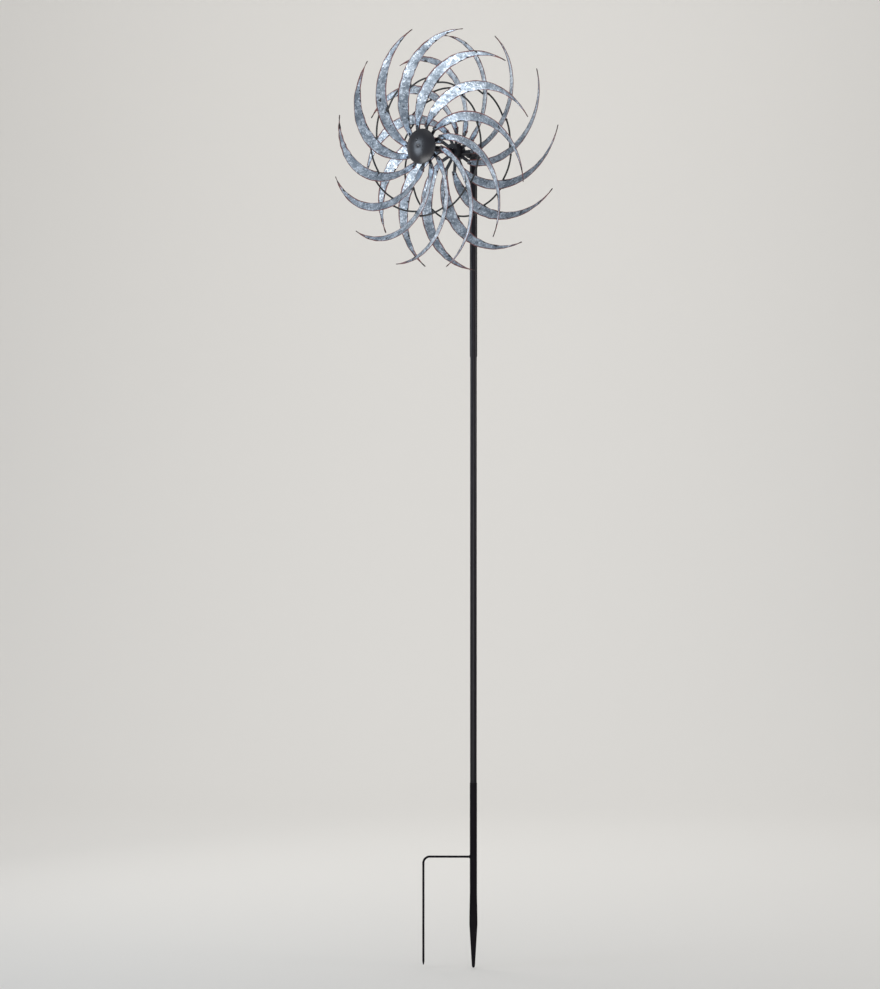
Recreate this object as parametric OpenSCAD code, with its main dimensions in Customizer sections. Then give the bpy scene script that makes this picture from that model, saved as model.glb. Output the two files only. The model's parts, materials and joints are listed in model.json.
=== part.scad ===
// Kinetic wind sculpture: two counter-rotating crescent-blade rotors on one
// horizontal axle, carried by a head that turns on a slim garden pole.
// Frame: +Z up, rotors face -Y, origin on the pole's axis at ground level.

/* [Rotors] */
// Number of blades on each rotor
blade_count = 12; // [8:1:12]
// Radius of the blade tips about the axle
tip_radius = 240; // [180:5:300]
// Radius of the blade roots, where they lie on the hub's arms
root_radius = 41; // [40:0.5:43]
// Angle about the axle from a blade's root to its tip
blade_sweep = 73; // [50:1:80]
// Angle that a blade's centreline turns through from root to tip
blade_curl = 124; // [90:1:130]
// Greatest width of a blade
blade_width = 23; // [18:0.5:28]
// Width of a blade at its root
root_width = 10; // [8:0.5:12]
// Share of the blade's length at which it is widest
widest_at = 0.32; // [0.28:0.02:0.5]
// Pitch of the blade's face out of the rotor's plane
blade_pitch = 34; // [24:1:38]
// How far the middle of a blade bows forward
blade_bow = 4; // [0:1:8]
// How far a blade's tip lies behind its root
tip_setback = 15; // [0:1:18]
// Sheet thickness of the blades
blade_sheet = 1.2; // [1:0.1:1.6]
// Distance from the pole's axis to the front rotor's plane
front_offset = 165; // [130:1:200]
// Distance from the pole's axis to the rear rotor's plane
rear_offset = 63; // [52:1:76]
// Turn of the front rotor at rest
front_phase = 23; // [0:1:29]
// Turn of the rear rotor at rest
rear_phase = 26; // [0:1:29]

/* [Braces] */
// Share of a blade's length at which the brace wires meet it
brace_share = 0.36; // [0.3:0.02:0.44]
// Diameter of the brace wires
brace_d = 3.6; // [3:0.1:4.4]

/* [Hubs] */
// Diameter of the domed hub cap
cap_d = 69.4; // [56:0.2:80]
// Height of the dome of the hub cap
cap_dome = 10; // [8:0.5:12]
// Depth of the hub cap's straight rim
cap_rim = 2; // [1:0.5:4]
// Sheet thickness of the hub cap
cap_wall = 1; // [0.8:0.1:1.4]
// Outer radius of the hub's arms
arm_radius = 49.5; // [48:0.5:54]
// Width of a hub arm
arm_width = 6.5; // [6:0.5:8]
// Thickness of the plate that the arms are cut from
arm_plate = 2; // [1.5:0.1:3]
// Outer diameter of the hub barrel
barrel_d = 30; // [25:0.5:36]
// Length of the hub barrel
barrel_length = 28; // [24:1:32]
// Diameter of a blade rivet's shank
rivet_d = 2.6; // [2:0.1:3]

/* [Axle and bearings] */
// Diameter of the axle
axle_d = 8; // [7:0.5:9]
// Outer diameter of a ball bearing
bearing_d = 22; // [20:0.5:24]
// Width of a ball bearing
bearing_width = 7; // [6:0.5:8]
// Balls in one bearing
ball_count = 7; // [5:1:7]
// Radial clearance of a ball between its races
ball_gap = 0.04; // [0.02:0.01:0.08]

/* [Head and pole] */
// Height of the axle above the ground
axle_height = 1418; // [1180:2:1702]
// Wall of the head tube
head_tube_wall = 0.7; // [0.6:0.1:1.5]
// Length of the head tube below the axle
head_tube_length = 407; // [300:1:450]
// Outer diameter of the pole
pole_d = 13.5; // [11.2:0.1:16.2]
// How far the stake's tube stands out all round from the pole
stake_step = 0.5; // [0.2:0.1:0.8]
// Wall of the pole's tubes
pole_wall = 1.2; // [1:0.1:1.5]
// Radial clearance between the turning head tube and the pole
swivel_gap = 0.1; // [0.05:0.01:0.1]
// Height of the joint between the two pole sections
upper_joint_height = 591; // [450:1:700]
// Height of the joint between the pole and the stake
lower_joint_height = 152; // [100:1:200]
// Distance from the axle down to the top of the pole
pole_top_drop = 87; // [60:1:150]
// Diameter of the axle boss on top of the head tube
boss_d = 17; // [16:0.5:20]
// Length of the axle boss
boss_length = 34; // [28:1:40]

/* [Stake and foot bar] */
// Depth of the stake's point below the ground
stake_depth = 222; // [180:1:260]
// Width of the flattened end of the stake
stake_flat_width = 16.4; // [14:0.1:20]
// Thickness of the flattened end of the stake
stake_flat_thickness = 6; // [5:0.5:8]
// Diameter of the foot bar's rod
foot_bar_d = 4.5; // [4:0.1:6]
// Distance from the pole's axis to the foot bar's leg
foot_bar_reach = 101; // [80:1:130]
// Depth of the foot bar's leg below the ground
foot_bar_depth = 216; // [160:1:260]
// Bend radius of the foot bar's rod along its centreline
foot_bar_bend = 13; // [10:0.5:20]
// Turn of the foot bar about the pole from the rotors' plane
foot_bar_turn = 36; // [0:1:90]

/* [Hidden] */
function two_digits(i) = i < 10 ? str("0", i) : str(i);
BLADE_NAMES = [for (i = [1:blade_count]) two_digits(i)];
FRONT_BLADES = [for (name = BLADE_NAMES) str("front_blade_", name)];
REAR_BLADES = [for (name = BLADE_NAMES) str("rear_blade_", name)];

// Points along a blade, and the least half width left at its tip
blade_steps = 26;
tip_half_width = 0.9;
// Length of blade that lies flat beyond the arm's end, and the share of the blade that twists
flat_margin = 2;
twist_share = 0.09;
// Length of a blade's root inside root_radius
root_tab = 3;
// The rivet on each arm: its heads and its distance from the arm's end
rivet_head_d = 4.6;
rivet_head_h = 1;
rivet_edge = 4;
// Where a brace starts across a blade, and how deep its weld sinks into the sheet
brace_start_across = 0.45;
brace_weld = 0.4;
// Hub details
barrel_front = 11;
arm_collar = 2;
race_wall = 1.7;
cap_hole_d = 3.4;
cap_hole_radius = 13;
cap_hole_depth = 3;
cap_axle_gap = 1;
collar_wall = 2;
cover_plate = 1.2;
cover_gap = 1;
// Axle details
nut_wall = 2.5;
nut_h = 5;
washer_wall = 1.8;
washer_h = 1.6;
spacer_wall = 1.6;
axle_stub = 0.8;
// Pole details
coupler_length = 60;
plug_length = 24;
plug_flange = 2;
stud_d = 6;
stud_length = 14;
stud_gap = 0.05;
plug_rest_gap = 0.3;
// Stake details: end of its round tube, its shoulders and its point
stake_tube_end = -60;
stake_shoulder = -134;
stake_tip_width = 6;
stake_tip_thickness = 3;
leg_tip_length = 6;
leg_tip_d = 2;
// Thickness of the slices that the stake's flattened end is blended between
slice = 0.5;

$fn = 48;
BLEND_FN = 32;

sheet_half = blade_sheet / 2;
pole_bore = pole_d - 2 * pole_wall;
sleeve_bore = pole_d + 2 * swivel_gap;
head_tube_d = sleeve_bore + 2 * head_tube_wall;
stake_d = pole_d + 2 * stake_step;
blade_turn = 360 / blade_count;
barrel_back = barrel_length - barrel_front;
outer_race_bore = bearing_d - 2 * race_wall;
inner_race_d = axle_d + 2 * race_wall;
ball_ring_d = (outer_race_bore + inner_race_d) / 2;
ball_d = (outer_race_bore - inner_race_d) / 2 - 2 * ball_gap;
spacer_d = axle_d + 2 * spacer_wall;
washer_d = axle_d + 2 * washer_wall;
nut_flats = axle_d + 2 * nut_wall;
clamp_h = washer_h + nut_h;
cap_apex = barrel_front + clamp_h + axle_stub + cap_axle_gap + cap_wall;
cap_back = cap_apex - cap_dome - cap_rim;
head_tube_bottom = axle_height - head_tube_length;
pole_top = axle_height - pole_top_drop;

// ---------- blades ----------

function smooth_step(x) = x <= 0 ? 0 : x >= 1 ? 1 : x * x * (3 - 2 * x);
function turned(v) = [v[1], -v[0]];

// The blade's centreline is an arc in the rotor's plane, from the root on the arm to the tip
arc_root = [root_radius, 0];
arc_tip = tip_radius * [cos(blade_sweep), -sin(blade_sweep)];
arc_chord = norm(arc_tip - arc_root);
arc_radius = arc_chord / 2 / sin(blade_curl / 2);
arc_rise = arc_radius * cos(blade_curl / 2);
arc_centre = (arc_root + arc_tip) / 2 + turned(arc_tip - arc_root) / arc_chord * arc_rise;
arc_length = arc_radius * blade_curl * PI / 180;
tab_share = root_tab / arc_length;
flat_share = (arm_radius - root_radius + flat_margin) / arc_length;
arc_start = atan2(arc_root[1] - arc_centre[1], arc_root[0] - arc_centre[0]);

function blade_half_width(s) = s < widest_at
  ? root_width / 2 + (blade_width - root_width) / 2 * sin(90 * s / widest_at)
  : max(tip_half_width, blade_width / 2 * cos(90 * (s - widest_at) / (1 - widest_at)));
function twist_at(s) = smooth_step((s - flat_share) / twist_share);
function blade_pitch_at(s) = blade_pitch * twist_at(s);
function blade_forward(s) = (4 * blade_bow * s * (1 - s) - tip_setback * s) * twist_at(s);

// A point of the blade: s along it, q across it from -1 (inner edge) to 1 (outer edge),
// and t through its thickness, forward positive. The sheet's front face touches y = 0 at the root.
function blade_point(s, q, t) =
  let (angle = arc_start - blade_curl * s)
  let (pitch = blade_pitch_at(s))
  let (across = q * blade_half_width(s))
  let (out = arc_radius + across * cos(pitch) - t * sin(pitch))
  let (forward = blade_forward(s) + across * sin(pitch) + t * cos(pitch) - blade_sheet / 2)
  [arc_centre[0] + out * cos(angle), -forward, arc_centre[1] + out * sin(angle)];

module blade() {
  rings = [for (i = [0:blade_steps]) let (s = i / blade_steps * (1 + tab_share) - tab_share)
    [blade_point(s, -1, sheet_half), blade_point(s, 1, sheet_half),
      blade_point(s, 1, -sheet_half), blade_point(s, -1, -sheet_half)]];
  points = [for (ring = rings) each ring];
  sides = [for (i = [0:blade_steps - 1], k = [0:3]) let (a = 4 * i + k, b = 4 * i + (k + 1) % 4)
    each [[a, b, b + 4], [a, b + 4, a + 4]]];
  last = 4 * blade_steps;
  ends = [[0, 3, 2], [0, 2, 1], [last, last + 1, last + 2], [last, last + 2, last + 3]];
  color("lightsteelblue") difference() {
    polyhedron(points = points, faces = concat(sides, ends));
    rivet_place() rotate([90, 0, 0]) cylinder(d = rivet_d, h = 4 * blade_sheet, center = true);
  }
}

module rivet_place() {
  translate([arm_radius - rivet_edge, 0, 0]) children();
}

// ---------- rotors: local frame has the rotor's plane at y = 0 and its front towards -y ----------

module front_rotor() {
  translate([0, -front_offset, axle_height]) rotate([0, -front_phase, 0]) children();
}

module rear_rotor() {
  translate([0, -rear_offset, axle_height]) rotate([0, -rear_phase, 0]) mirror([0, 0, 1]) children();
}

module each_blade() {
  for (i = [0:blade_count - 1]) rotate([0, -i * blade_turn, 0]) children();
}

module one_blade(i) {
  rotate([0, -i * blade_turn, 0]) blade();
}

// ---------- braces ----------

// A point of the next blade round, against the clock
function next_blade(p) = [
  p[0] * cos(blade_turn) - p[2] * sin(blade_turn), p[1], p[0] * sin(blade_turn) + p[2] * cos(blade_turn)];

// A wire from the back of one blade to the inner edge of the next one
module brace_wire() {
  start = blade_point(brace_share, brace_start_across, -sheet_half - brace_d / 2 + brace_weld);
  run = next_blade(blade_point(brace_share, -1, 0)) - start;
  translate(start) rotate([0, acos(run[2] / norm(run)), atan2(run[1], run[0])])
    cylinder(d = brace_d, h = norm(run));
}

module brace_wires() {
  color("black") each_blade() brace_wire();
}

// ---------- hubs: forward is towards -y ----------

// A round bar along the axle, from one forward distance to a greater one
module bar(d, from, to) {
  translate([0, -from, 0]) rotate([90, 0, 0]) cylinder(d = d, h = to - from);
}

module ring(outer, inner, from, to) {
  difference() {
    bar(outer, from, to);
    bar(inner, from - 1, to + 1);
  }
}

// Both bearings of a hub, as ranges of forward distance
bearing_ranges = [[-barrel_back, -barrel_back + bearing_width], [barrel_front - bearing_width, barrel_front]];
// The arms lie behind the blades' roots
arm_back = -blade_sheet - arm_plate;

module arm_plate_piece() {
  color("black") difference() {
    translate([0, -arm_back, 0]) rotate([90, 0, 0]) linear_extrude(arm_plate) union() {
      circle(d = barrel_d + 2 * arm_collar);
      for (i = [0:blade_count - 1]) rotate(i * blade_turn)
        translate([0, -arm_width / 2]) square([arm_radius, arm_width]);
    }
    bar(barrel_d, arm_back - 1, 1);
    each_blade() rivet_place() bar(rivet_d, arm_back - 1, 1);
  }
}

module blade_rivets() {
  color("black") each_blade() rivet_place() union() {
    bar(rivet_d, arm_back, 0);
    bar(rivet_head_d, 0, rivet_head_h);
    bar(rivet_head_d, arm_back - rivet_head_h, arm_back);
  }
}

module hub_barrel() {
  color("black") difference() {
    bar(barrel_d, -barrel_back, barrel_front);
    bar(outer_race_bore, -barrel_back - 1, barrel_front + 1);
    bar(bearing_d, -barrel_back - 1, bearing_ranges[0][1]);
    bar(bearing_d, bearing_ranges[1][0], barrel_front + 1);
  }
}

module cap_section(r, dome_r, dome_centre) {
  union() {
    square([r, cap_rim]);
    intersection() {
      translate([0, dome_centre]) circle(r = dome_r);
      square([r, cap_rim + cap_dome]);
    }
  }
}

// A pressed dome on a narrow straight rim
module hub_cap() {
  dome_r = (pow(cap_d / 2, 2) + pow(cap_dome, 2)) / (2 * cap_dome);
  dome_centre = cap_rim + cap_dome - dome_r;
  collar_base = barrel_front - cap_back;
  color("black") difference() {
    translate([0, -cap_back, 0]) rotate([90, 0, 0]) rotate_extrude() union() {
      difference() {
        cap_section(cap_d / 2, dome_r, dome_centre);
        cap_section(cap_d / 2 - cap_wall, dome_r - cap_wall, dome_centre);
      }
      // The collar that stands on the barrel
      intersection() {
        translate([0, dome_centre]) circle(r = dome_r);
        translate([barrel_d / 2 - collar_wall, collar_base]) square([collar_wall, cap_apex - barrel_front]);
      }
    }
    bar(cap_hole_d, cap_apex - cap_hole_depth, cap_apex + 1);
    translate([0, 0, cap_hole_radius]) bar(cap_hole_d, cap_apex - cap_hole_depth, cap_apex + 1);
  }
}

// A flat ring over the rear hub's front bearing
module hub_cover() {
  color("black") ring(barrel_d, spacer_d + 2 * cover_gap, barrel_front, barrel_front + cover_plate);
}

module bearing_outer_races() {
  color("silver") for (range = bearing_ranges) ring(bearing_d, outer_race_bore, range[0], range[1]);
}

module bearing_inner_races() {
  color("silver") for (range = bearing_ranges) ring(inner_race_d, axle_d, range[0], range[1]);
}

module bearing_balls() {
  color("silver") for (range = bearing_ranges, i = [0:ball_count - 1])
    rotate([0, i * 360 / ball_count, 0])
      translate([ball_ring_d / 2, -(range[0] + range[1]) / 2, 0]) sphere(d = ball_d);
}

module hub_spacer() {
  color("silver") ring(spacer_d, axle_d, bearing_ranges[0][1], bearing_ranges[1][0]);
}

// ---------- axle: forward distances are measured from the pole's axis ----------

front_hub_front = front_offset + barrel_front;
front_hub_back = front_offset - barrel_back;
rear_hub_front = rear_offset + barrel_front;
rear_hub_back = rear_offset - barrel_back;
boss_half = boss_length / 2;

module on_axle() {
  translate([0, 0, axle_height]) children();
}

module middle_spacer() {
  color("black") on_axle() ring(spacer_d, axle_d, rear_hub_front, front_hub_back);
}

module boss_spacer() {
  color("black") on_axle() ring(spacer_d, axle_d, boss_half, rear_hub_back);
}

module axle() {
  color("silver") on_axle() bar(axle_d, -boss_half - clamp_h - axle_stub, front_hub_front + clamp_h + axle_stub);
}

module axle_washers() {
  color("silver") on_axle() {
    ring(washer_d, axle_d, front_hub_front, front_hub_front + washer_h);
    ring(washer_d, axle_d, -boss_half - washer_h, -boss_half);
  }
}

module axle_nut(from) {
  difference() {
    translate([0, -from, 0]) rotate([90, 0, 0]) cylinder(d = nut_flats / cos(30), h = nut_h, $fn = 6);
    bar(axle_d, from - 1, from + nut_h + 1);
  }
}

module axle_nuts() {
  color("dimgray") on_axle() {
    axle_nut(front_hub_front + washer_h);
    axle_nut(-boss_half - clamp_h);
  }
}

module axle_boss() {
  color("black") on_axle() ring(boss_d, axle_d, -boss_half, boss_half);
}

// ---------- head and pole ----------

module upright(d, from, to) {
  translate([0, 0, from]) cylinder(d = d, h = to - from);
}

module tube(outer, inner, from, to) {
  difference() {
    upright(outer, from, to);
    upright(inner, from - 1, to + 1);
  }
}

module head_tube() {
  color("black") difference() {
    tube(head_tube_d, sleeve_bore, head_tube_bottom, axle_height);
    on_axle() bar(boss_d, -head_tube_d, head_tube_d);
  }
}

module head_pivot_plug() {
  bottom = pole_top + plug_flange + plug_rest_gap;
  color("white") difference() {
    upright(sleeve_bore, bottom, bottom + plug_length);
    upright(stud_d + 2 * stud_gap, bottom - 1, pole_top + plug_flange + stud_length + stud_gap);
  }
}

module pole_pivot_stud() {
  color("silver") union() {
    upright(pole_bore, pole_top - plug_length, pole_top);
    upright(pole_d, pole_top, pole_top + plug_flange);
    upright(stud_d, pole_top + plug_flange, pole_top + plug_flange + stud_length);
  }
}

module upper_pole() {
  color("black") tube(pole_d, pole_bore, upper_joint_height, pole_top);
}

module lower_pole() {
  color("black") tube(pole_d, pole_bore, lower_joint_height, upper_joint_height);
}

module upper_coupler() {
  color("silver") upright(pole_bore, upper_joint_height - coupler_length / 2, upper_joint_height + coupler_length / 2);
}

module lower_coupler() {
  color("silver") upright(pole_bore, lower_joint_height - coupler_length / 2, lower_joint_height + coupler_length / 2);
}

// ---------- stake and foot bar: the foot bar points towards -x before it is turned ----------

module at_foot_bar() {
  rotate([0, 0, foot_bar_turn]) children();
}

// A thin slice of the flattened stake, with round ends
module stake_slice(width, thickness, z) {
  for (side = [-1, 1]) translate([side * (width - thickness) / 2, 0, z])
    cylinder(d = thickness, h = slice, $fn = BLEND_FN);
}

module stake() {
  color("black") at_foot_bar() difference() {
    union() {
      upright(stake_d, stake_tube_end, lower_joint_height);
      hull() {
        translate([0, 0, stake_tube_end]) cylinder(d = stake_d, h = slice, $fn = BLEND_FN);
        stake_slice(stake_flat_width, stake_flat_thickness, stake_shoulder);
      }
      hull() {
        stake_slice(stake_flat_width, stake_flat_thickness, stake_shoulder);
        stake_slice(stake_tip_width, stake_tip_thickness, -stake_depth);
      }
    }
    upright(pole_bore, stake_tube_end + stake_d, lower_joint_height + 1);
    foot_bar_run();
  }
}

// The straight stretch of the foot bar that crosses the stake and lies on the ground
module foot_bar_run() {
  translate([-foot_bar_reach + foot_bar_bend, 0, foot_bar_d / 2]) rotate([0, 90, 0])
    cylinder(d = foot_bar_d, h = foot_bar_reach - foot_bar_bend + stake_d / 2 - foot_bar_d / 4);
}

module foot_bar() {
  bend_z = foot_bar_d / 2 - foot_bar_bend;
  color("black") at_foot_bar() union() {
    foot_bar_run();
    translate([-foot_bar_reach + foot_bar_bend, 0, bend_z]) rotate([90, 0, 0])
      rotate_extrude(angle = 90, start = 90) translate([foot_bar_bend, 0]) circle(d = foot_bar_d);
    translate([-foot_bar_reach, 0, 0]) {
      upright(foot_bar_d, -foot_bar_depth + leg_tip_length, bend_z);
      translate([0, 0, -foot_bar_depth]) cylinder(d1 = leg_tip_d, d2 = foot_bar_d, h = leg_tip_length);
    }
  }
}

// ---------- which sub-part to draw ----------

for (i = [0:blade_count - 1]) {
  front_rotor() one_blade(i);
  rear_rotor() one_blade(i);
}
front_rotor() arm_plate_piece();  // front_arm_plate
rear_rotor() arm_plate_piece();  // rear_arm_plate
front_rotor() blade_rivets();  // front_blade_rivets
rear_rotor() blade_rivets();  // rear_blade_rivets
front_rotor() brace_wires();  // front_brace_wires
rear_rotor() brace_wires();  // rear_brace_wires
front_rotor() hub_barrel();  // front_hub_barrel
rear_rotor() hub_barrel();  // rear_hub_barrel
front_rotor() hub_cap();  // front_hub_cap
rear_rotor() hub_cover();  // rear_hub_cover
front_rotor() bearing_outer_races();  // front_bearing_outer_races
rear_rotor() bearing_outer_races();  // rear_bearing_outer_races
front_rotor() bearing_inner_races();  // front_bearing_inner_races
rear_rotor() bearing_inner_races();  // rear_bearing_inner_races
front_rotor() bearing_balls();  // front_bearing_balls
rear_rotor() bearing_balls();  // rear_bearing_balls
front_rotor() hub_spacer();  // front_hub_spacer
rear_rotor() hub_spacer();  // rear_hub_spacer
middle_spacer();
boss_spacer();
axle();
axle_washers();
axle_nuts();
axle_boss();
head_tube();
head_pivot_plug();
pole_pivot_stud();
upper_pole();
lower_pole();
upper_coupler();
lower_coupler();
stake();
foot_bar();
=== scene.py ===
"""Kinetic wind sculpture: two counter-rotating rotors of crescent blades on a slim garden pole."""
import json
import math

import bpy
import numpy as np
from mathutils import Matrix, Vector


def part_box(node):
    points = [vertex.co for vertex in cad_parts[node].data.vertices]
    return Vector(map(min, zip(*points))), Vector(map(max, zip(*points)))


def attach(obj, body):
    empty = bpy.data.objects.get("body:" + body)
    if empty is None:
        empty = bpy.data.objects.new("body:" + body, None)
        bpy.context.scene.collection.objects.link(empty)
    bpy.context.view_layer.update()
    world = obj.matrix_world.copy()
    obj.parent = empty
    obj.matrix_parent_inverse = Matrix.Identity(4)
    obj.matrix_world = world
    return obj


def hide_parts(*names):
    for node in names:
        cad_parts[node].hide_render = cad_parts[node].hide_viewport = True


bl_info = {
    "name": "Kinetic wind sculpture",
    "version": (1, 0, 0),
    "blender": (4, 5, 0),
    "location": "3D View > Sidebar > Wind sculpture",
    "description": "Dresses the packed frame of a two-rotor wind sculpture with finished pieces",
    "category": "Object",
}

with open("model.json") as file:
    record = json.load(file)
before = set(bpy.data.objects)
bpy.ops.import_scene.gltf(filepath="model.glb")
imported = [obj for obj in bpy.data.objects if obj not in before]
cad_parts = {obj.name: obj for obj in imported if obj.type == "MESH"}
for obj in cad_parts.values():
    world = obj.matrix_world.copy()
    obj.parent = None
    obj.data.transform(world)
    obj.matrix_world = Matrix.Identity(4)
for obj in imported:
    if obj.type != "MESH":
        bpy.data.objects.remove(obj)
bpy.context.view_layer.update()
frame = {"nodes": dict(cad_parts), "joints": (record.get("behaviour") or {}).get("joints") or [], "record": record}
JOINTS = {joint["name"]: joint for joint in frame["joints"]}
MM = 0.001
SIDES = ("front", "rear")
UP = np.array([0, 0, 1.0])
FORWARD = (0.0, -1.0, 0.0)
PINHOLE = 0.00002  # radius at which a turned profile stops short of its axis
BEARING_WIDTH = 0.007
RACE_WALL = 0.0017
NUT_HEIGHT = 0.005
THREAD_RUN = 0.014


def box(node):
    """Lowest and highest corner of a CAD node as arrays, in metres."""
    low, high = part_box(node)
    return np.array(low), np.array(high)


def node_radius(node):
    """Radius of a round CAD node that lies along y or z: half its width along x."""
    low, high = box(node)
    return (high - low)[0] / 2


def leg_mount():
    return next(m for m in frame["record"]["mounts"] if m["name"] == "foot_bar_leg")


def rotor_centre(side):
    """Where a rotor's plane crosses the axle."""
    return np.array(JOINTS[side + "_rotor_spin"]["pos_m"], float)


# ---------------------------------------------------------------- sizes and colours

def length(name, description, default):
    return bpy.props.FloatProperty(name=name, description=description, default=default,
                                   min=0.0, unit="LENGTH", subtype="DISTANCE", precision=5)


def turn(name, description, default):
    return bpy.props.FloatProperty(name=name, description=description, default=math.radians(default),
                                   unit="ROTATION", subtype="ANGLE")


def share(name, description, default):
    return bpy.props.FloatProperty(name=name, description=description, default=default,
                                   min=0.0, max=1.0, subtype="FACTOR")


def colour(name, description, default):
    return bpy.props.FloatVectorProperty(name=name, description=description, default=default,
                                         size=3, min=0.0, max=1.0, subtype="COLOR")


class BladeSizes(bpy.types.PropertyGroup):
    """Sizes of one crescent blade and of the wires that brace it."""
    count: bpy.props.IntProperty(name="Blades", description="Blades on each rotor", default=12, min=3)
    tip_radius: length("Tip radius", "Radius of the blade tips about the axle", 0.240)
    root_radius: length("Root radius", "Radius of the blade roots about the axle", 0.041)
    sweep: turn("Sweep", "Angle about the axle from a blade's root to its tip", 73)
    curl: turn("Curl", "Angle that the centreline turns through from root to tip", 124)
    width: length("Width", "Greatest width of a blade", 0.023)
    root_width: length("Root width", "Width of a blade at its root", 0.010)
    root_tab: length("Root tab", "Length of a blade's root inside the root radius", 0.003)
    tip_width: length("Tip width", "Width left at the blunt end of a tip", 0.0018)
    widest_at: share("Widest at", "Share of the length at which a blade is widest", 0.32)
    pitch: turn("Pitch", "Turn of the blade's face out of the rotor's plane", 34)
    bow: length("Bow", "How far the middle of a blade bows forward", 0.004)
    setback: length("Tip setback", "How far a tip lies behind the root", 0.015)
    sheet: length("Sheet", "Thickness of the sheet", 0.0012)
    flat_margin: length("Flat margin", "Length that lies flat beyond the arm's end", 0.002)
    twist_share: share("Twist", "Share of the length over which the pitch grows", 0.09)
    camber: length("Camber", "How far the sheet is dished across its width", 0.0007)
    front_phase: turn("Front phase", "Turn of the front rotor at rest", 23)
    rear_phase: turn("Rear phase", "Turn of the rear rotor at rest", 26)
    brace_share: share("Brace place", "Share of a blade's length where the wires meet it", 0.36)
    brace_across: share("Brace start", "Place across the blade where a wire starts", 0.45)
    brace_d: length("Brace diameter", "Diameter of the brace wires", 0.0036)


class HubSizes(bpy.types.PropertyGroup):
    """Sizes of the hubs and their caps."""
    plate: length("Arm plate", "Thickness of the plate that the arms are cut from", 0.002)
    collar: length("Arm collar", "Width of the ring that joins the arms round the barrel", 0.002)
    arm_radius: length("Arm radius", "Outer radius of the arms", 0.0495)
    arm_width: length("Arm width", "Width of an arm", 0.0065)
    rivet_d: length("Rivet head", "Diameter of a rivet's head", 0.0046)
    rivet_h: length("Rivet height", "Height of a rivet's head", 0.001)
    rivet_edge: length("Rivet edge", "Distance of a rivet from its arm's end", 0.004)
    cap_d: length("Cap", "Diameter of the hub cap", 0.0694)
    cap_rim: length("Cap rim", "Depth of the cap's straight rim", 0.002)
    cap_dome: length("Cap dome", "Height of the cap's dome", 0.010)
    cap_wall: length("Cap wall", "Sheet thickness of a cap", 0.001)
    cap_hole_radius: length("Cap hole place", "Radius at which the drain hole sits", 0.013)
    cap_hole_d: length("Cap hole", "Diameter of the drain hole", 0.0034)


class StakeSizes(bpy.types.PropertyGroup):
    """Sizes of the pressed stake and of the bent foot bar."""
    step: length("Stake step", "How far the stake's tube stands out all round from the pole", 0.0005)
    tube_end: length("Tube end", "Depth below the ground where the round tube ends", 0.060)
    shoulder: length("Shoulder", "Depth where the pressed part is widest", 0.134)
    flat_width: length("Flat width", "Width of the pressed part", 0.0164)
    flat_thickness: length("Flat thickness", "Thickness of the pressed part", 0.006)
    point_width: length("Point width", "Width of the blunt point", 0.006)
    point_thickness: length("Point thickness", "Thickness of the blunt point", 0.003)
    nose: length("Nose", "Length over which the point is rounded off", 0.004)
    bar_bend: length("Bar bend", "Radius of the foot bar's bend", 0.013)


class Finishes(bpy.types.PropertyGroup):
    """Colours of the finishes."""
    zinc: colour("Zinc", "Plain zinc coat", (0.26, 0.31, 0.37))
    spangle: colour("Spangle", "Bright crystals of the zinc coat", (0.70, 0.78, 0.87))
    zinc_shade: colour("Zinc shade", "Dull crystals of the zinc coat", (0.12, 0.15, 0.185))
    rust: colour("Rust", "Rust along the cut edges", (0.135, 0.036, 0.028))
    scorch: colour("Scorch", "Burnt and worn spots", (0.012, 0.009, 0.009))
    paint: colour("Paint", "Satin black paint", (0.006, 0.006, 0.009))
    pole_paint: colour("Pole paint", "Black paint of the pole", (0.006, 0.0045, 0.007))
    wire: colour("Wire", "Black brace wire", (0.006, 0.006, 0.006))
    plated: colour("Plated steel", "Zinc plated fasteners", (0.52, 0.52, 0.53))
    race: colour("Bearing steel", "Ground bearing steel", (0.62, 0.62, 0.64))
    nylon: colour("Nylon", "Natural nylon", (0.78, 0.76, 0.70))
    floor: colour("Floor", "Studio floor and backdrop", (0.70, 0.675, 0.635))


def sizes():
    return bpy.context.scene.wind_blade, bpy.context.scene.wind_hub


def finishes():
    return bpy.context.scene.wind_finish


def stake_sizes():
    """The stake's sizes and the radius of its tube."""
    stake = bpy.context.scene.wind_stake
    return stake, node_radius("lower_pole") + stake.step


# ---------------------------------------------------------------- mesh making

def put_mesh(name, points, faces, smooth_angle=35.0):
    """A closed mesh object from an (n, 3) array and a list of corner arrays, smooth up to an angle."""
    mesh = bpy.data.meshes.new(name)
    mesh.from_pydata(np.asarray(points, float).tolist(), [], [list(map(int, f)) for f in faces])
    mesh.validate()
    mesh.polygons.foreach_set("use_smooth", np.ones(len(mesh.polygons), bool))
    mesh.set_sharp_from_angle(angle=math.radians(smooth_angle))
    mesh.update()
    piece = bpy.data.objects.new(name, mesh)
    bpy.context.scene.collection.objects.link(piece)
    return piece


def ring_faces(rings, around, first=0, loop=False):
    """Quads between successive rings of points; a looped row of rings closes on itself."""
    rows = np.arange(rings if loop else rings - 1)[:, None]
    cols = np.arange(around)[None, :]
    here = first + rows * around
    there = first + ((rows + 1) % rings) * around
    nxt = (cols + 1) % around
    quads = np.stack([here + cols, here + nxt, there + nxt, there + cols], -1)
    return quads.reshape(-1, 4)


def loft(rings, loop=False):
    """Points and faces of a closed skin over an (r, a, 3) array of rings: each ring is joined to the
    next, and the first and last are closed with flat ends unless the row of rings is a loop."""
    count, around = rings.shape[:2]
    faces = [q for q in ring_faces(count, around, loop=loop)]
    if not loop:
        faces.append(np.arange(around)[::-1])
        faces.append((count - 1) * around + np.arange(around))
    return rings.reshape(-1, 3), faces


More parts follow.
